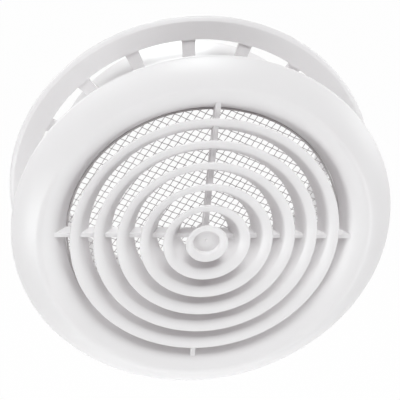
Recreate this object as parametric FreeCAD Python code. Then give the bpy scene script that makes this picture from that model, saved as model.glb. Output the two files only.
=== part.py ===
# Round duct vent: a louvred face with an insect screen, pushed into a slotted mounting frame.
# Every piece is built about the duct's axis with its front along +Z, then turned so that the
# front faces -Y, +Z is up and the wall plane is Y = 0. All lengths are in millimetres.
import FreeCAD, Part

import os
from math import hypot

from FreeCAD import Vector

# Mounting frame: flat flange against the wall, posts between its slots, spigot into the duct
FLANGE_RADIUS = 100.0
FLANGE_THICKNESS = 2.5
FLANGE_BEVEL_WIDTH = 2.1
FLANGE_BEVEL_DEPTH = 1.4
SPIGOT_RADIUS = 74.6
SPIGOT_WALL = 1.2
SPIGOT_REACH = 24.0
SLOT_COUNT = 18
SLOT_LAND = 1.0
SLOT_OUTER_RADIUS = 87.7
POST_DEGREES = 4.8
FRAME_TURN = 6.2

# Face skin: bevel up to a crest, funnel down to the throat, legs that slide in the spigot
RIM_EDGE = 1.2
RIM_LAND = 1.6
CREST_RADIUS = 86.0
CREST_RISE = 10.0
BEVEL_BULGE = 1.0
FUNNEL_BULGE = 1.5
SKIN = 2.0
SLIDE_CLEARANCE = 0.3
SKIRT_WALL = 1.1
SKIRT_REACH = 3.0
LEG_COUNT = 4
LEG_REACH = 61.0
LEG_DEGREES = 30.0
PULLED_OUT = 46.0

# Louvre: flared rings about a dished hub, carried by straight spokes
RING_COUNT = 5
RING_PITCH = 11.9
RING_INSET = 2.0
OUTER_RING_FRONT = 9.5
RING_STEP = 1.0
RING_LIP = 1.0
RING_WALL = 1.5
RING_WIDTH = 10.2
RING_FOOT = 1.0
RING_BREAK_WIDTH = 5.2
RING_BREAK_DEPTH = 2.8
HUB_RADIUS = 11.0
HUB_FRONT = 14.5
HUB_DISH = 1.9
HUB_LIP = 1.2
RECESS_RADIUS = 6.9
RECESS_DEPTH = 2.0
STEM_RADIUS = 7.6
STEM_WALL = 1.6
SPOKE_COUNT = 4
SPOKE_THICKNESS = 2.2
SPOKE_DEPTH = 5.5

# Insect screen: crossing ridges in a hoop, laid on the spokes' rear edges
SCREEN_CLEARANCE = 0.2
SCREEN_THICKNESS = 1.3
HOOP_WIDTH = 1.2
WIRE_WIDTH = 1.2
WIRE_OVERLAP = 0.2
WIRE_PITCH = 12.6
SCREEN_TURN = -25.0

# Sizes that follow from the ones above. The face is as wide as the flange that it closes onto.
FACE_RADIUS = FLANGE_RADIUS
BORE_RADIUS = SPIGOT_RADIUS - SPIGOT_WALL
SKIRT_RADIUS = BORE_RADIUS - SLIDE_CLEARANCE
THROAT_RADIUS = SKIRT_RADIUS - SKIRT_WALL
SLOT_INNER_RADIUS = SPIGOT_RADIUS + SLOT_LAND
OUTER_RING_RADIUS = THROAT_RADIUS - RING_INSET
SCREEN_RADIUS = THROAT_RADIUS - SCREEN_CLEARANCE
FACE_LIFT = FLANGE_THICKNESS + PULLED_OUT

AXIS_POINT = Vector(0, 0, 0)
AXIS = Vector(0, 0, 1)
FULL_TURN = 360.0


def section_point(radius, height):
    """Point of a half section: radius from the duct's axis, height towards the front."""
    return Vector(radius, 0, height)


def line(start, end):
    return Part.LineSegment(section_point(*start), section_point(*end)).toShape()


def bulged_middle(start, end, bulge):
    """Point that stands bulge to the left of the middle of a straight line."""
    run, rise = end[0] - start[0], end[1] - start[1]
    length = hypot(run, rise)
    return ((start[0] + end[0]) / 2 - bulge * rise / length,
            (start[1] + end[1]) / 2 + bulge * run / length)


def bulged_arc(start, end, bulge):
    """Arc from start to end whose middle stands bulge to the left of the straight line."""
    middle = bulged_middle(start, end, bulge)
    return Part.Arc(section_point(*start), section_point(*middle), section_point(*end)).toShape()


def polyline(*points):
    return [line(start, end) for start, end in zip(points, points[1:])]


def revolved(edges, degrees=FULL_TURN):
    """Solid of revolution of a closed half section about the duct's axis."""
    return Part.Face(Part.Wire(edges)).revolve(AXIS_POINT, AXIS, degrees)


def around(shape, count, first_degrees=0.0):
    """Copies of a shape spaced evenly about the duct's axis."""
    copies = []
    for index in range(count):
        copy = shape.copy()
        copy.rotate(AXIS_POINT, AXIS, first_degrees + index * FULL_TURN / count)
        copies.append(copy)
    return copies


def mounting_frame():
    """Flange with screw slots between short posts, and the spigot behind it."""
    edges = polyline((BORE_RADIUS, -SPIGOT_REACH), (BORE_RADIUS, FLANGE_THICKNESS),
                     (FLANGE_RADIUS - FLANGE_BEVEL_WIDTH, FLANGE_THICKNESS),
                     (FLANGE_RADIUS, FLANGE_THICKNESS - FLANGE_BEVEL_DEPTH), (FLANGE_RADIUS, 0),
                     (SPIGOT_RADIUS, 0), (SPIGOT_RADIUS, -SPIGOT_REACH), (BORE_RADIUS, -SPIGOT_REACH))
    body = revolved(edges)
    pitch = FULL_TURN / SLOT_COUNT
    below, above = -FLANGE_THICKNESS, 2 * FLANGE_THICKNESS
    slot = revolved(polyline((SLOT_INNER_RADIUS, below), (SLOT_OUTER_RADIUS, below),
                             (SLOT_OUTER_RADIUS, above), (SLOT_INNER_RADIUS, above),
                             (SLOT_INNER_RADIUS, below)), pitch - POST_DEGREES)
    first_slot = 90.0 + FRAME_TURN + POST_DEGREES / 2
    return body.cut(around(slot, SLOT_COUNT, first_slot))


def face_skin():
    """Rim, bevel, crest, funnel and the short skirt round the screen, as one revolved shell."""
    rim, crest, throat = (FACE_RADIUS, 0), (CREST_RADIUS, CREST_RISE), (THROAT_RADIUS, 0)
    crest_back = (CREST_RADIUS, CREST_RISE - SKIN)
    funnel_back = bulged_middle(crest, throat, SKIN - FUNNEL_BULGE)
    land_back = (FACE_RADIUS - RIM_LAND, -RIM_EDGE)
    edges = [bulged_arc(rim, crest, -BEVEL_BULGE), bulged_arc(crest, throat, -FUNNEL_BULGE)]
    edges += polyline(throat, (THROAT_RADIUS, -SKIRT_REACH), (SKIRT_RADIUS, -SKIRT_REACH),
                      (SKIRT_RADIUS, -RIM_EDGE), funnel_back, crest_back, land_back,
                      (FACE_RADIUS, -RIM_EDGE), rim)
    return revolved(edges)


def leg():
    """Curved tongue behind the skirt, as thick as it is, which the spigot guides."""
    tongue = revolved(polyline((THROAT_RADIUS, -LEG_REACH), (SKIRT_RADIUS, -LEG_REACH),
                               (SKIRT_RADIUS, -SKIRT_REACH), (THROAT_RADIUS, -SKIRT_REACH),
                               (THROAT_RADIUS, -LEG_REACH)), LEG_DEGREES)
    tongue.rotate(AXIS_POINT, AXIS, -LEG_DEGREES / 2)
    return tongue


def louvre_ring(index):
    """Flared blade with a thin front lip that bends to a steep tail. Index 0 is the outermost."""
    radius = OUTER_RING_RADIUS - index * RING_PITCH
    front = OUTER_RING_FRONT + index * RING_STEP
    lip, lip_back = (radius, front), (radius, front - RING_LIP)
    bend = (radius - RING_BREAK_WIDTH, front - RING_BREAK_DEPTH)
    tail = (radius - RING_WIDTH, RING_FOOT)
    lean = hypot(bend[0] - tail[0], bend[1] - tail[1]) / (bend[1] - tail[1])
    tail_back = (tail[0] + RING_WALL * lean, RING_FOOT)
    bend_back = (bend[0] + RING_WALL * lean, bend[1] - RING_WALL)
    return revolved(polyline(lip, bend, tail, tail_back, bend_back, lip_back, lip))


def hub():
    """Dished cap with a shallow round recess, on a hollow stem that the spokes run into."""
    recess_edge = (RECESS_RADIUS, HUB_FRONT - HUB_DISH)
    floor = HUB_FRONT - HUB_DISH - RECESS_DEPTH
    lip = (HUB_RADIUS, HUB_FRONT)
    lip_back = (HUB_RADIUS, HUB_FRONT - HUB_LIP)
    neck = (STEM_RADIUS, SPOKE_DEPTH)
    hollow = STEM_RADIUS - STEM_WALL
    return revolved(polyline((0, floor), (RECESS_RADIUS, floor), recess_edge, lip, lip_back, neck,
                             (STEM_RADIUS, 0), (hollow, 0), (hollow, floor - SKIN),
                             (0, floor - SKIN), (0, floor)))


def spoke():
    """Upright rib from the hub's stem to the funnel, whose outer end stays inside the skin."""
    front_end = THROAT_RADIUS + SPOKE_DEPTH * (CREST_RADIUS - THROAT_RADIUS) / CREST_RISE
    inner = STEM_RADIUS - STEM_WALL / 2
    outer = THROAT_RADIUS + SKIRT_WALL / 2
    corners = [(inner, 0), (outer, 0), (front_end, SPOKE_DEPTH), (inner, SPOKE_DEPTH), (inner, 0)]
    rib = Part.Face(Part.Wire(polyline(*corners))).extrude(Vector(0, SPOKE_THICKNESS, 0))
    rib.translate(Vector(0, -SPOKE_THICKNESS / 2, 0))
    return rib


def front_grille():
    """The whole face moulding: skin, legs, louvre rings, hub and spokes in one piece."""
    pieces = [louvre_ring(index) for index in range(RING_COUNT)]
    pieces += [hub()] + around(spoke(), SPOKE_COUNT)
    pieces += around(leg(), LEG_COUNT, FULL_TURN / LEG_COUNT / 2)
    return face_skin().fuse(pieces).removeSplitter()


def wire_row(depth_start, depth):
    """Parallel ridges across the screen, clipped to its hoop's middle."""
    reach = SCREEN_RADIUS - HOOP_WIDTH / 2
    each_side = int(reach / WIRE_PITCH)
    ridges = []
    for index in range(-each_side, each_side + 1):
        corner = Vector(-SCREEN_RADIUS, index * WIRE_PITCH - WIRE_WIDTH / 2, depth_start)
        ridges.append(Part.makeBox(2 * SCREEN_RADIUS, WIRE_WIDTH, depth, corner))
    disc = Part.makeCylinder(reach, SCREEN_THICKNESS, Vector(0, 0, -SCREEN_THICKNESS))
    return [ridge.common(disc) for ridge in ridges]


def insect_screen():
    """Two layers of ridges, one across the other, joined where they cross and at the hoop."""
    hoop_inner = SCREEN_RADIUS - HOOP_WIDTH
    screen = revolved(polyline((hoop_inner, -SCREEN_THICKNESS), (SCREEN_RADIUS, -SCREEN_THICKNESS),
                               (SCREEN_RADIUS, 0), (hoop_inner, 0), (hoop_inner, -SCREEN_THICKNESS)))
    layer = (SCREEN_THICKNESS + WIRE_OVERLAP) / 2
    across = wire_row(-layer, layer)
    upright = wire_row(-SCREEN_THICKNESS, layer)
    for ridge in upright:
        ridge.rotate(AXIS_POINT, AXIS, 90)
    screen = screen.fuse(across + upright).removeSplitter()
    screen.rotate(AXIS_POINT, AXIS, SCREEN_TURN)
    return screen


def on_wall(shape, lift):
    """Lift a piece off the wall along the duct's axis, then turn the axis level, front to -Y."""
    placed = shape.copy()
    placed.translate(Vector(0, 0, lift))
    placed.rotate(AXIS_POINT, Vector(1, 0, 0), 90)
    return placed


PIECES = {
    "mounting_frame": on_wall(mounting_frame(), 0),
    "front_grille": on_wall(front_grille(), FACE_LIFT),
    "insect_screen": on_wall(insect_screen(), FACE_LIFT),
}

os.makedirs("parts", exist_ok=True)
for node, shape in PIECES.items():
    shape.exportStep(f"parts/{node}.step")
    print(node, "valid" if shape.isValid() else "INVALID", len(shape.Solids), "solid",
          round(shape.Volume / 1000, 2), "cm3", len(shape.Faces), "faces")
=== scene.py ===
# Round duct vent seen as in a light tent: the louvred face, its woven insect screen and the slotted
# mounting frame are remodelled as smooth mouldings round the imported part's own frame. Metres.
from collections import namedtuple
from math import atan2, ceil, cos, hypot, pi, radians, sin, sqrt, tau

import bmesh
import bpy
from mathutils import Matrix, Vector


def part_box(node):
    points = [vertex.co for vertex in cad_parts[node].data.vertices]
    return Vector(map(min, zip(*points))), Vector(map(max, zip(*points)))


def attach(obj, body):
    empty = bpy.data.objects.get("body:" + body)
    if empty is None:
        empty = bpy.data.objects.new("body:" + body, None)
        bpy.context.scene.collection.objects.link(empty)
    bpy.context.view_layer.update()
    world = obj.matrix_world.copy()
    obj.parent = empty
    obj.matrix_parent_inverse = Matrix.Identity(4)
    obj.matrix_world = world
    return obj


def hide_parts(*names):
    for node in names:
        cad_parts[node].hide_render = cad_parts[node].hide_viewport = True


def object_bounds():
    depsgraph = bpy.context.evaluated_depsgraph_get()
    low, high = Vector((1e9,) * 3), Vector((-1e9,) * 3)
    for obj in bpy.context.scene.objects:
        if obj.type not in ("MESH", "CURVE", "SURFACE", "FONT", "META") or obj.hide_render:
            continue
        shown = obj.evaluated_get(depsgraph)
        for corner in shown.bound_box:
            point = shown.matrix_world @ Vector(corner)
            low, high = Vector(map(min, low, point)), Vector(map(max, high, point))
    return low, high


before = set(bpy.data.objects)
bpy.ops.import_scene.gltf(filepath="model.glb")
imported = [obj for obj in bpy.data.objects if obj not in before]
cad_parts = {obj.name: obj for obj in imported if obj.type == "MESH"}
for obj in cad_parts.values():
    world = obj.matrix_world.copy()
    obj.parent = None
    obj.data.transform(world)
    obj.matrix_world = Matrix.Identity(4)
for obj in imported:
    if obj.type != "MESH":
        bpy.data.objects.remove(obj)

CAD_BOX = [list(corner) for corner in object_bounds()]
MM = 0.001

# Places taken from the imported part
FACE_LOW, FACE_HIGH = (Vector(corner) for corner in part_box("front_grille"))
FRAME_LOW, FRAME_HIGH = (Vector(corner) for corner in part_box("mounting_frame"))
SCREEN_LOW, SCREEN_HIGH = (Vector(corner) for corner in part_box("insect_screen"))
FACE_RADIUS = FACE_HIGH.x
FLANGE_RADIUS = FRAME_HIGH.x
FLANGE_FRONT = FRAME_LOW.y
SPIGOT_END = FRAME_HIGH.y
LEG_END = FACE_HIGH.y

# Face skin
HUB_FRONT = 14.5 * MM
RIM_PLANE = FACE_LOW.y + HUB_FRONT
RIM_EDGE = 1.2 * MM
RIM_LAND = 1.6 * MM
CREST_RADIUS = 86.0 * MM
CREST_RISE = 10.0 * MM
CREST_SOFTNESS = 1.6 * MM
BEVEL_BULGE = 1.0 * MM
FUNNEL_BULGE = 1.5 * MM
SKIN = 2.0 * MM
SKIRT_RADIUS = 73.1 * MM
THROAT_RADIUS = 72.0 * MM
SKIRT_REACH = 3.0 * MM
LEG_COUNT = 4
LEG_ANGLE = radians(30)
LEG_INSET = 0.05 * MM
LEG_ROOT = 1.5 * MM
EDGE_ROUND = 0.45 * MM
THROAT_ROUND = 0.25 * MM

# Louvre
RING_COUNT = 5
RING_PITCH = 11.9 * MM
OUTER_RING_RADIUS = 70.3 * MM
OUTER_RING_FRONT = 9.5 * MM
RING_STEP = 1.0 * MM
RING_LIP = 1.0 * MM
RING_WALL = 1.5 * MM
RING_WIDTH = 10.2 * MM
RING_FOOT = 1.0 * MM
RING_BREAK_WIDTH = 5.2 * MM
RING_BREAK_DEPTH = 2.8 * MM
RING_BULGE = 0.3 * MM
RING_BREAK_ROUND = 0.6 * MM
RING_LIP_ROUND = 0.42 * MM
HUB_RADIUS = 11.0 * MM
HUB_DISH = 1.9 * MM
HUB_BULGE = 0.45 * MM
HUB_LIP = 1.2 * MM
HUB_LIP_ROUND = 0.55 * MM
RECESS_RADIUS = 6.9 * MM
RECESS_DEPTH = 2.0 * MM
GATE_RADIUS = 0.7 * MM
GATE_RISE = 0.45 * MM
STEM_RADIUS = 4.0 * MM
STEM_WALL = 1.6 * MM
SPOKE_COUNT = 4
SPOKE_THICKNESS = 2.6 * MM
SPOKE_DEPTH = 6.2 * MM
SPOKE_ROUND = 0.3 * MM
LOW_SPOKE_DEPTH = 3.4 * MM
LOW_SPOKE_START = 8.0 * MM

# Mounting frame
FLANGE_BEVEL_WIDTH = 2.1 * MM
FLANGE_BEVEL_DEPTH = 1.4 * MM
SPIGOT_RADIUS = 74.6 * MM
SPIGOT_WALL = 1.2 * MM
SLOT_COUNT = 18
SLOT_LAND = 1.0 * MM
SLOT_INNER_RADIUS = SPIGOT_RADIUS + SLOT_LAND
SLOT_OUTER_RADIUS = 87.7 * MM
CUT_FRONT, CUT_BACK = 2 * FLANGE_FRONT, -FLANGE_FRONT
POST_ANGLE = radians(4.8)
POST_SETBACK = 0.9 * MM
POST_SETBACK_EDGE = 0.3 * MM
FRAME_TURN = radians(6.2)

# Woven screen: two rows of yarn, not quite square to each other
YarnRow = namedtuple("YarnRow", "pitch shift turn")
WEFT = YarnRow(3.41 * MM, -0.92 * MM, radians(-23.64))
WARP = YarnRow(3.38 * MM, 0.52 * MM, radians(-118.65))
SCREEN_RADIUS = 71.8 * MM
YARN_RADIUS = 0.18 * MM
YARN_SIDES = 6
CRIMP_STEPS = 8
SPARE_WAVES = 2
HEM_WIDTH = 1.0 * MM

# Smoothness of the meshes
SPIN_STEPS = 180
SLOT_STEPS = 10
LEG_STEPS = 16
ARC_STEPS = 8
ROUND_STEPS = 4
SPOKE_ROUND_STEPS = 3
SMOOTH_ANGLE = radians(32)
YARN_SMOOTH_ANGLE = radians(62)
WELD = 1e-6

# Finishes: each goes between two shades, in patches of the sizes given
PLASTIC_SHADES = (0.765, 0.742, 0.749), (0.795, 0.772, 0.780)
PLASTIC_ROUGHNESS = 0.30
PLASTIC_IOR = 1.49
DRIFT_SIZE = 30 * MM
DRIFT_SHARE = 0.7
DRIFT_DULLNESS = 0.10
SPECK_SIZE = 0.9 * MM
SPECK_DULLNESS = 0.06
GRAIN_SIZE = 0.25 * MM
GRAIN_SHARE = 0.4
GRAIN_STRENGTH = 0.05
YARN_SHADES = (0.40, 0.37, 0.375), (0.58, 0.55, 0.555)
YARN_ROUGHNESS = 0.55
PATCH_SIZE = 6 * MM
PATCH_SHARE = 0.6
FIBRE_SIZE = 0.2 * MM
FIBRE_DULLNESS = 0.2
FIBRE_STRENGTH = 0.2
BUMP_DEPTH = 0.05 * MM
BROAD_DETAIL, FINE_DETAIL = 3.0, 2.0

# Sockets of a Mix node for colours, which share their names with those for numbers
MIX_FACTOR, MIX_FIRST, MIX_SECOND, MIX_RESULT = 0, 6, 7, 2

# Studio: each lamp has its place and its watts
WHITE = (1, 1, 1)
FLOOR_DROP = 0.7
FLOOR_SIZE = 12.0
FLOOR_COLOUR = (0.92, 0.92, 0.92)
FLOOR_ROUGHNESS = 0.8
FLOOR_WHITENESS = 0.985
SKY_LEVEL = 0.15
SKY_COLOUR = (1.0, 0.87, 0.91)
LAMP_COLOUR = (0.955, 1.0, 0.993)
LAMP_SIZE = 0.5
LAMPS = {
    "top_lamp": ((0.0, -0.55, 1.2), 10.6),
    "top_left_lamp": ((-0.8, -0.5, 0.95), 2.8),
    "right_lamp": ((1.3, -0.2, 0.2), 3.2),
    "low_left_lamp": ((-0.95, -0.75, -0.55), 6.1),
    "low_right_lamp": ((0.95, -0.75, -0.55), 4.4),
    "low_lamp": ((0.0, -0.3, -0.55), 0.8),
    "front_lamp": ((0.0, -1.3, 0.1), 0.9),
    "back_left_lamp": ((-1.1, 0.5, 0.4), 5.0),
    "back_right_lamp": ((1.1, 0.5, 0.4), 3.8),
    "back_lamp": ((0.0, 1.3, 0.4), 6.5),
}

# Camera, with its lens and sensor in millimetres
AIM = Vector((-0.00171, -0.03893, 0.01215))
AZIMUTH, ELEVATION, ROLL = radians(-10.193), radians(30.703), radians(5.714)
CAMERA_DISTANCE = 0.75
LENS = 128.68
SENSOR = 36.0

DUCT_AXIS = (0, 1, 0)
ORIGIN = (0, 0, 0)


def face_point(radius, height):
    """Half-section point of the face: height is measured forward from the rim's plane."""
    return radius, RIM_PLANE - height


def rectangle(inner, outer, front, back):
    """Half-section of a plain ring."""
    return [(inner, front), (outer, front), (outer, back), (inner, back)]


def arc_between(start, end, bulge):
    """Points after start and before end on an arc whose middle stands bulge left of the chord."""
    chord = Vector(end) - Vector(start)
    half = chord.length / 2
    left = Vector((-chord.y, chord.x)).normalized()
    centre = (Vector(start) + Vector(end)) / 2 + left * (bulge ** 2 - half ** 2) / (2 * bulge)
    sweep = -4 * atan2(bulge, half)
    return [tuple(centre + Matrix.Rotation(sweep * index / ARC_STEPS, 2) @ (Vector(start) - centre))
            for index in range(1, ARC_STEPS)]


def deselect_objects():
    """Leave edit mode and select nothing."""
    if bpy.context.mode != "OBJECT":
        bpy.ops.object.mode_set(mode="OBJECT")
    bpy.ops.object.select_all(action="DESELECT")


def make_active(piece):
    """Select this piece alone for the next operator."""
    deselect_objects()
    piece.select_set(True)
    bpy.context.view_layer.objects.active = piece


def select_points(wanted):
    """In edit mode, select only the vertices for which wanted(position) holds."""
    piece = bpy.context.edit_object
    mesh = bmesh.from_edit_mesh(piece.data)
    for vertex in mesh.verts:
        vertex.select = wanted(vertex.co)
    mesh.select_flush_mode()
    bmesh.update_edit_mesh(piece.data)


def select_edges(wanted):
    """In edit mode, select only the edges for which wanted(one end, other end) holds."""
    bpy.ops.mesh.select_mode(type="EDGE")
    bpy.ops.mesh.select_all(action="DESELECT")
    piece = bpy.context.edit_object
    mesh = bmesh.from_edit_mesh(piece.data)
    for edge in mesh.edges:
        one, other = edge.verts
        edge.select_set(wanted(one.co, other.co))
    bmesh.update_edit_mesh(piece.data)


def draw_section(name, points):
    """Start a piece as a closed line of points (radius, y), drawn by extruding one vertex."""
    deselect_objects()
    bpy.ops.mesh.primitive_plane_add(size=MM, location=ORIGIN, enter_editmode=True)
    piece = bpy.context.object
    piece.name = name
    bpy.ops.mesh.merge(type="CENTER")
    bpy.ops.transform.translate(value=(*points[0], 0))
    for point, next_point in zip(points, points[1:] + points[:1]):
        step = Vector(next_point) - Vector(point)
        bpy.ops.mesh.extrude_region_move(TRANSFORM_OT_translate={"value": (*step, 0)})
    bpy.ops.mesh.select_all(action="SELECT")
    bpy.ops.mesh.remove_doubles(threshold=WELD)
    return piece


def round_corner(corner, radius):
    """Round one corner of the section that is being drawn."""
    corner = Vector((corner[0], corner[1], 0))
    select_points(lambda place: (place - corner).length < WELD)
    bpy.ops.mesh.bevel(offset=radius, segments=ROUND_STEPS, affect="VERTICES", clamp_overlap=False)


def face_outwards():
    """Turn the faces of the piece in edit mode outwards, and leave edit mode."""
    bpy.ops.mesh.select_all(action="SELECT")
    bpy.ops.mesh.normals_make_consistent(inside=False)
    bpy.ops.object.mode_set(mode="OBJECT")


def spin_section(steps=SPIN_STEPS, angle=tau):
    """Spin the drawn section about the duct's axis into a closed body."""
    bpy.ops.mesh.select_all(action="SELECT")
    if angle < tau:
        bpy.ops.mesh.edge_face_add()
    bpy.ops.mesh.spin(steps=steps, angle=angle, center=ORIGIN, axis=DUCT_AXIS)
    bpy.ops.mesh.select_all(action="SELECT")
    bpy.ops.mesh.remove_doubles(threshold=WELD)
    bpy.ops.mesh.delete_loose()
    face_outwards()


def start_block(name, low, high):
    """Start a piece as a block between two corners, in edit mode."""
    deselect_objects()
    bpy.ops.mesh.primitive_cube_add(size=1, location=ORIGIN, enter_editmode=True)
    piece = bpy.context.object
    piece.name = name
    bpy.ops.transform.resize(value=[end - start for start, end in zip(low, high)])
    bpy.ops.transform.translate(value=[(start + end) / 2 for start, end in zip(low, high)])
    return piece


def turn_about_duct(piece, angle):
    """Turn a piece about the duct's axis, within its mesh."""
    make_active(piece)
    piece.rotation_euler = (0, -angle, 0)
    bpy.ops.object.transform_apply(location=False, rotation=True, scale=False)


def turned_copies(piece, count, first=0.0):
    """The piece and its copies, spaced evenly about the duct's axis, each with its own mesh."""
    copies = [piece]
    for _ in range(count - 1):
        make_active(piece)
        bpy.ops.object.duplicate(linked=False)
        copies.append(bpy.context.object)
    for index, copy in enumerate(copies):
        turn_about_duct(copy, first + index * tau / count)
    return copies


def combine(body, tools, operation):
    """Join the tools to the body, or cut them out of it, and delete them."""
    for tool in tools:
        make_active(body)
        step = body.modifiers.new("combine", "BOOLEAN")
        step.operation = operation
        step.solver = "EXACT"
        step.object = tool
        bpy.ops.object.modifier_apply(modifier=step.name)
        bpy.data.objects.remove(tool, do_unlink=True)


def join_pieces(pieces):
    """Make one object of several, with no change to their meshes."""
    deselect_objects()
    for piece in pieces:
        piece.select_set(True)
    bpy.context.view_layer.objects.active = pieces[0]
    bpy.ops.object.join()
    return bpy.context.object


def shade_curves(piece, angle=SMOOTH_ANGLE):
    """Shade the curves smooth up to the real edges."""
    make_active(piece)
    bpy.ops.object.shade_smooth_by_angle(angle=angle)


def face_skin():
    """Rim, bevel, crest, funnel and skirt, with soft moulded edges."""
    rim, crest = face_point(FACE_RADIUS, 0), face_point(CREST_RADIUS, CREST_RISE)
    throat = face_point(THROAT_RADIUS, 0)
    rim_back = face_point(FACE_RADIUS, -RIM_EDGE)
    crest_back = face_point(CREST_RADIUS, CREST_RISE - SKIN)
    funnel_back = face_point(SKIRT_RADIUS, -RIM_EDGE)
    land_back = face_point(FACE_RADIUS - RIM_LAND, -RIM_EDGE)
    section = [rim, *arc_between(rim, crest, BEVEL_BULGE), crest,
               *arc_between(crest, throat, FUNNEL_BULGE), throat,
               face_point(THROAT_RADIUS, -SKIRT_REACH), face_point(SKIRT_RADIUS, -SKIRT_REACH),
               funnel_back, *arc_between(funnel_back, crest_back, -FUNNEL_BULGE), crest_back,
               *arc_between(crest_back, land_back, -BEVEL_BULGE), land_back, rim_back]
    skin = draw_section("front_moulding", section)
    round_corner(rim, EDGE_ROUND)
    round_corner(crest, CREST_SOFTNESS)
    round_corner(throat, THROAT_ROUND)
    spin_section()
    return skin


def louvre_ring(index):
    """Flared blade: a thin rounded lip, a softly crowned front and a steep straight tail."""
    radius = OUTER_RING_RADIUS - index * RING_PITCH
    front = OUTER_RING_FRONT + index * RING_STEP
    bend_radius, bend_height = radius - RING_BREAK_WIDTH, front - RING_BREAK_DEPTH
    tail_radius = radius - RING_WIDTH
    lean = hypot(bend_radius - tail_radius, bend_height - RING_FOOT) / (bend_height - RING_FOOT)
    lip, lip_back = face_point(radius, front), face_point(radius, front - RING_LIP)
    bend, tail = face_point(bend_radius, bend_height), face_point(tail_radius, RING_FOOT)
    tail_back = face_point(tail_radius + RING_WALL * lean, RING_FOOT)
    bend_back = face_point(bend_radius + RING_WALL * lean, bend_height - RING_WALL)
    section = [lip, *arc_between(lip, bend, RING_BULGE), bend, tail, tail_back, bend_back,
               *arc_between(bend_back, lip_back, -RING_BULGE), lip_back]
    ring = draw_section(f"louvre_ring_{index + 1}", section)
    for corner in (lip, lip_back, tail, tail_back):
        round_corner(corner, RING_LIP_ROUND)
    round_corner(bend, RING_BREAK_ROUND)
    spin_section()
    return ring


def hub():
    """Dished cap with its recess and the small mark left by the mould's gate, on a hollow stem."""
    edge_height = HUB_FRONT - HUB_DISH
    floor = edge_height - RECESS_DEPTH
    gate_top = floor + GATE_RISE
    hollow = STEM_RADIUS - STEM_WALL
    recess_edge, lip = face_point(RECESS_RADIUS, edge_height), face_point(HUB_RADIUS, HUB_FRONT)
    lip_back = face_point(HUB_RADIUS, HUB_FRONT - HUB_LIP)
    neck = face_point(STEM_RADIUS, SPOKE_DEPTH)
    section = [face_point(0, gate_top), face_point(GATE_RADIUS / 2, gate_top),
               face_point(GATE_RADIUS, floor), face_point(RECESS_RADIUS, floor), recess_edge,
               *arc_between(recess_edge, lip, -HUB_BULGE), lip, lip_back,
               *arc_between(lip_back, neck, HUB_BULGE), neck, face_point(STEM_RADIUS, 0),
               face_point(hollow, 0), face_point(hollow, floor - SKIN), face_point(0, floor - SKIN)]
    cap = draw_section("hub", section)
    round_corner(lip, HUB_LIP_ROUND)
    round_corner(lip_back, HUB_LIP_ROUND)
    round_corner(recess_edge, EDGE_ROUND)
    spin_section()
    return cap


def low_spoke_relief():
    """What the lowest rib lacks in front, from the hub to the outer ring, so that the rings hide it."""
    end = OUTER_RING_RADIUS - RING_BREAK_WIDTH
    front, back = RIM_PLANE - 2 * SPOKE_DEPTH, RIM_PLANE - LOW_SPOKE_DEPTH
    relief = start_block("low_spoke_relief", (-SPOKE_THICKNESS, front, -end),
                         (SPOKE_THICKNESS, back, -LOW_SPOKE_START))
    bpy.ops.object.mode_set(mode="OBJECT")
    return relief


def spokes():
    """Four ribs on edge, their front edges rounded and their outer ends cut back inside the skin."""
    inner = STEM_RADIUS - STEM_WALL / 2
    outer = (THROAT_RADIUS + SKIRT_RADIUS) / 2
    front_end = THROAT_RADIUS + SPOKE_DEPTH * (CREST_RADIUS - THROAT_RADIUS) / CREST_RISE
    side = SPOKE_THICKNESS / 2
    middle = RIM_PLANE - SPOKE_DEPTH / 2
    rib = start_block("spoke", (inner, RIM_PLANE - SPOKE_DEPTH, -side), (front_end, RIM_PLANE, side))
    select_points(lambda place: place.x > outer and place.y > middle)
    bpy.ops.transform.translate(value=(outer - front_end, 0, 0))
    select_edges(lambda one, other: abs(one.x - other.x) > outer / 2 and max(one.y, other.y) < middle)
    bpy.ops.mesh.bevel(offset=SPOKE_ROUND, segments=SPOKE_ROUND_STEPS, affect="EDGES")
    bpy.ops.mesh.select_mode(type="VERT")
    bpy.ops.object.mode_set(mode="OBJECT")
    ribs = turned_copies(rib, SPOKE_COUNT)
    combine(ribs[-1], [low_spoke_relief()], "DIFFERENCE")
    return ribs


def legs():
    """Four curved tongues behind the skirt that slide in the spigot."""
    start = RIM_PLANE + SKIRT_REACH - LEG_ROOT
    section = rectangle(THROAT_RADIUS + LEG_INSET, SKIRT_RADIUS - LEG_INSET, start, LEG_END)
    tongue = draw_section("leg", section)
    round_corner(section[2], EDGE_ROUND)
    round_corner(section[3], EDGE_ROUND)
    spin_section(LEG_STEPS, LEG_ANGLE)
    return turned_copies(tongue, LEG_COUNT, tau / LEG_COUNT / 2 - LEG_ANGLE / 2)


def front_moulding():
    """The face as one moulding: skin, legs, spokes, hub and rings joined."""
    face = face_skin()
    pieces = legs() + spokes() + [hub()]
    pieces += [louvre_ring(index) for index in range(RING_COUNT)]
    combine(face, pieces, "UNION")
    shade_curves(face)
    return face


def slot_cutters():
    """Curved blocks that cut the slots, with the width of a post between them."""
    section = rectangle(SLOT_INNER_RADIUS, SLOT_OUTER_RADIUS, CUT_FRONT, CUT_BACK)
    slot = draw_section("slot", section)
    spin_section(SLOT_STEPS, tau / SLOT_COUNT - POST_ANGLE)
    return turned_copies(slot, SLOT_COUNT, pi / 2 + FRAME_TURN + POST_ANGLE / 2)


def post_relief():
    """Ring that sets the posts back. Half a step's turn keeps its points off the flange's edges."""
    inner, outer = SLOT_INNER_RADIUS + POST_SETBACK_EDGE, SLOT_OUTER_RADIUS - POST_SETBACK_EDGE
    relief = draw_section("post_relief", rectangle(inner, outer, CUT_FRONT, FLANGE_FRONT + POST_SETBACK))
    spin_section()
    return turned_copies(relief, 1, pi / SPIN_STEPS)


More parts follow.
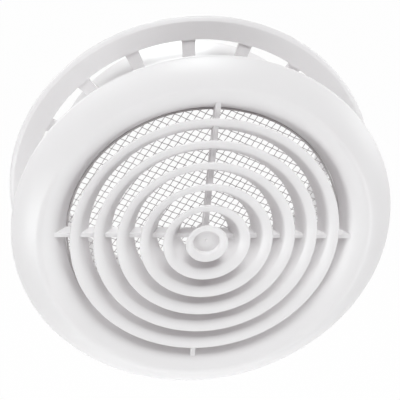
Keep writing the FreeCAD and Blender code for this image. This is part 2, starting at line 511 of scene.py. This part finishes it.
def frame_moulding():
    """Flange and spigot with their slots cut through and the posts between them set back a little."""
    bore = SPIGOT_RADIUS - SPIGOT_WALL
    bevel_in = (FLANGE_RADIUS - FLANGE_BEVEL_WIDTH, FLANGE_FRONT)
    bevel_out = (FLANGE_RADIUS, FLANGE_FRONT + FLANGE_BEVEL_DEPTH)
    mouth, foot = (bore, FLANGE_FRONT), (SPIGOT_RADIUS, 0)
    end_out, end_in = (SPIGOT_RADIUS, SPIGOT_END), (bore, SPIGOT_END)
    section = [mouth, bevel_in, bevel_out, (FLANGE_RADIUS, 0), foot, end_out, end_in]
    body = draw_section("frame_moulding", section)
    for corner in (mouth, bevel_in, bevel_out, end_out, end_in):
        round_corner(corner, EDGE_ROUND)
    spin_section()
    combine(body, slot_cutters() + post_relief(), "DIFFERENCE")
    shade_curves(body)
    return body


def yarn(swing, wave, length):
    """One crimped yarn along X: a single wave of it is drawn, then repeated to the length."""
    deselect_objects()
    bpy.ops.mesh.primitive_circle_add(vertices=YARN_SIDES, radius=YARN_RADIUS, location=ORIGIN,
                                      rotation=(0, pi / 2, 0), enter_editmode=True)
    piece = bpy.context.object
    bpy.ops.transform.translate(value=(0, swing, 0))
    height = swing
    for step in range(1, CRIMP_STEPS + 1):
        new_height = swing * cos(tau * step / CRIMP_STEPS)
        bpy.ops.mesh.extrude_region_move(
            TRANSFORM_OT_translate={"value": (wave / CRIMP_STEPS, new_height - height, 0)})
        height = new_height
    bpy.ops.object.mode_set(mode="OBJECT")
    bpy.ops.object.transform_apply(location=True, rotation=True, scale=True)
    repeat = piece.modifiers.new("repeat", "ARRAY")
    repeat.count = ceil(length / wave)
    repeat.use_relative_offset = False
    repeat.use_constant_offset = True
    repeat.constant_offset_displace = (wave, 0, 0)
    repeat.use_merge_vertices = True
    repeat.merge_threshold = WELD
    bpy.ops.object.modifier_apply(modifier=repeat.name)
    return piece


def yarn_row(own, other, swing):
    """Yarns side by side, each cut to its chord, that pass over and under the other row's in turn."""
    reach = SCREEN_RADIUS - HEM_WIDTH / 2
    slant = other.turn + pi / 2 - own.turn
    wave = 2 * other.pitch / abs(cos(slant))
    waves_before = ceil(reach / wave) + SPARE_WAVES
    pattern = yarn(swing, wave, 2 * waves_before * wave)
    row = []
    for index in range(ceil((-reach - own.shift) / own.pitch), ceil((reach - own.shift) / own.pitch)):
        offset = own.shift + index * own.pitch
        chord = sqrt(reach ** 2 - offset ** 2)
        crossing = (other.shift - offset * sin(slant)) / cos(slant)
        make_active(pattern)
        bpy.ops.object.duplicate(linked=False)
        row.append(bpy.context.object)
        bpy.ops.object.mode_set(mode="EDIT")
        bpy.ops.mesh.select_all(action="SELECT")
        bpy.ops.transform.translate(value=(crossing - (waves_before + index % 2 / 2) * wave, 0, offset))
        for side in (-1, 1):
            bpy.ops.mesh.select_all(action="SELECT")
            bpy.ops.mesh.bisect(plane_co=(side * chord, 0, 0), plane_no=(side, 0, 0),
                                use_fill=True, clear_outer=True)
        bpy.ops.object.mode_set(mode="OBJECT")
    bpy.data.objects.remove(pattern, do_unlink=True)
    joined = join_pieces(row)
    turn_about_duct(joined, own.turn)
    return joined


def woven_screen():
    """Plain weave: each row of yarns swings over and under the other, inside a thin hem."""
    depth = (SCREEN_HIGH.y - SCREEN_LOW.y) / 2
    hem = draw_section("hem", rectangle(SCREEN_RADIUS - HEM_WIDTH, SCREEN_RADIUS, -depth, depth))
    spin_section()
    screen = join_pieces([yarn_row(WEFT, WARP, YARN_RADIUS), yarn_row(WARP, WEFT, -YARN_RADIUS), hem])
    screen.name = "woven_screen"
    screen.location = (0, (SCREEN_LOW.y + SCREEN_HIGH.y) / 2, 0)
    bpy.ops.object.transform_apply(location=True, rotation=False, scale=False)
    bpy.ops.object.mode_set(mode="EDIT")
    face_outwards()
    shade_curves(screen, YARN_SMOOTH_ANGLE)
    return screen


class Shade:
    """A shader value. Maths on it adds Math nodes, and add() adds any other node beside it."""

    def __init__(self, tree, socket=None):
        self.tree, self.socket = tree, socket

    def add(self, kind, inputs=None, output=0, **settings):
        """One output of a new node, with its settings made first and then its inputs set or linked."""
        node = self.tree.nodes.new(kind)
        for name, value in settings.items():
            setattr(node, name, value)
        for name, value in (inputs or {}).items():
            if isinstance(value, Shade):
                self.tree.links.new(value.socket, node.inputs[name])
            else:
                node.inputs[name].default_value = value
        return Shade(self.tree, node.outputs[output])

    def maths(self, operation, first, second):
        return self.add("ShaderNodeMath", {0: first, 1: second}, operation=operation)

    def __add__(self, other):
        return self.maths("ADD", self, other)

    __radd__ = __add__

    def __mul__(self, other):
        return self.maths("MULTIPLY", self, other)

    __rmul__ = __mul__

    def into(self, node, name):
        """Link this value to an input of a node that is already there."""
        self.tree.links.new(self.socket, node.inputs[name])


def new_material(name):
    """A new material, its surface node and a value to build its shading from."""
    material = bpy.data.materials.new(name)
    material.use_nodes = True
    return material, material.node_tree.nodes["Principled BSDF"], Shade(material.node_tree)


def noise(start, place, size, detail=FINE_DETAIL):
    """Smooth noise from 0 to 1 whose patches are about size across."""
    return start.add("ShaderNodeTexNoise", {"Vector": place, "Scale": 1 / size, "Detail": detail}, "Fac")


def blend_values(first, second, share):
    """This share of the first value, and of the second the rest."""
    return first * share + second * (1 - share)


def blend_colours(start, factor, first, second):
    """The first colour where factor is 0, the second where it is 1."""
    inputs = {MIX_FACTOR: factor, MIX_FIRST: (*first, 1), MIX_SECOND: (*second, 1)}
    return start.add("ShaderNodeMix", inputs, MIX_RESULT, data_type="RGBA")


def fine_bumps(start, height, strength):
    """A normal that follows height, too fine to be modelled."""
    return start.add("ShaderNodeBump", {"Height": height, "Strength": strength, "Distance": BUMP_DEPTH})


def moulded_white():
    """White moulded plastic: faint colour drift, satin gloss that varies, fine tool-face grain."""
    material, surface, start = new_material("moulded_white")
    place = start.add("ShaderNodeTexCoord", output="Object")
    drift = noise(start, place, DRIFT_SIZE, BROAD_DETAIL)
    speck = noise(start, place, SPECK_SIZE)
    grain = noise(start, place, GRAIN_SIZE)
    tone = blend_values(drift, speck, DRIFT_SHARE)
    blend_colours(start, tone, *PLASTIC_SHADES).into(surface, "Base Color")
    (PLASTIC_ROUGHNESS + drift * DRIFT_DULLNESS + speck * SPECK_DULLNESS).into(surface, "Roughness")
    height = blend_values(grain, speck, GRAIN_SHARE)
    fine_bumps(start, height, GRAIN_STRENGTH).into(surface, "Normal")
    surface.inputs["IOR"].default_value = PLASTIC_IOR
    return material


def screen_yarn():
    """Grey coated yarn, dull, with a little unevenness along it."""
    material, surface, start = new_material("screen_yarn")
    place = start.add("ShaderNodeTexCoord", output="Object")
    patch = noise(start, place, PATCH_SIZE, BROAD_DETAIL)
    fibre = noise(start, place, FIBRE_SIZE)
    tone = blend_values(patch, fibre, PATCH_SHARE)
    blend_colours(start, tone, *YARN_SHADES).into(surface, "Base Color")
    (YARN_ROUGHNESS + fibre * FIBRE_DULLNESS).into(surface, "Roughness")
    fine_bumps(start, fibre, FIBRE_STRENGTH).into(surface, "Normal")
    return material


def dress(piece, material, body, node):
    """Give a piece its material and tie it to the body and the node that it stands for."""
    piece.data.materials.clear()
    piece.data.materials.append(material)
    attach(piece, body)
    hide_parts(node)


def background_rays(start):
    """1 for what the camera sees straight, mirrored or through a clear piece, and 0 for light."""
    straight, mirrored, through = (start.add("ShaderNodeLightPath", output=name) for name in
                                   ("Is Camera Ray", "Is Glossy Ray", "Is Transmission Ray"))
    return start.maths("MAXIMUM", straight, start.maths("MAXIMUM", mirrored, through))


def pale_floor():
    """White floor far below: lit and shadowed like any surface, and read as white by the camera."""
    deselect_objects()
    bpy.ops.mesh.primitive_plane_add(size=FLOOR_SIZE, location=(0, 0, CAD_BOX[0][2] - FLOOR_DROP))
    floor = bpy.context.object
    floor.name = "floor"
    material, surface, start = new_material("pale_floor")
    surface.inputs["Base Color"].default_value = (*FLOOR_COLOUR, 1)
    surface.inputs["Roughness"].default_value = FLOOR_ROUGHNESS
    seen = background_rays(start)
    glow = start.add("ShaderNodeEmission", {"Color": (*WHITE, 1), "Strength": 1.0})
    lit = Shade(material.node_tree, surface.outputs[0])
    shown = start.add("ShaderNodeMixShader", {0: seen * FLOOR_WHITENESS, 1: lit, 2: glow})
    shown.into(material.node_tree.nodes["Material Output"], "Surface")
    floor.data.materials.append(material)


def white_sky():
    """Even, faintly pink fill light. The camera, and what reflects or lets it through, sees white."""
    world = bpy.data.worlds.new("light_tent")
    world.use_nodes = True
    bpy.context.scene.world = world
    start = Shade(world.node_tree)
    seen = background_rays(start)
    back = world.node_tree.nodes["Background"]
    (SKY_LEVEL + seen * (1 - SKY_LEVEL)).into(back, "Strength")
    blend_colours(start, seen, SKY_COLOUR, WHITE).into(back, "Color")


def soft_lamps():
    """Square lamps turned to the object, like lit panes of the tent."""
    for name, (place, watts) in LAMPS.items():
        deselect_objects()
        bpy.ops.object.light_add(type="AREA", location=place)
        lamp = bpy.context.object
        lamp.name = name
        lamp.rotation_euler = (AIM - Vector(place)).to_track_quat("-Z", "Y").to_euler()
        lamp.data.size = LAMP_SIZE
        lamp.data.energy = watts
        lamp.data.color = LAMP_COLOUR


def camera():
    """The photo's view, fitted to the circles of the face and the flange."""
    turn = (Matrix.Rotation(AZIMUTH, 3, "Z") @ Matrix.Rotation(pi / 2 - ELEVATION, 3, "X")
            @ Matrix.Rotation(ROLL, 3, "Z"))
    place = AIM + turn @ Vector((0, 0, CAMERA_DISTANCE))
    deselect_objects()
    bpy.ops.object.camera_add(location=place, rotation=turn.to_euler())
    eye = bpy.context.object
    eye.data.lens = LENS
    eye.data.sensor_width = SENSOR
    bpy.context.scene.camera = eye


white = moulded_white()
dress(frame_moulding(), white, "frame", "mounting_frame")
dress(front_moulding(), white, "face", "front_grille")
dress(woven_screen(), screen_yarn(), "face", "insect_screen")

pale_floor()
white_sky()
soft_lamps()
camera()
bpy.context.scene.view_settings.view_transform = "Standard"
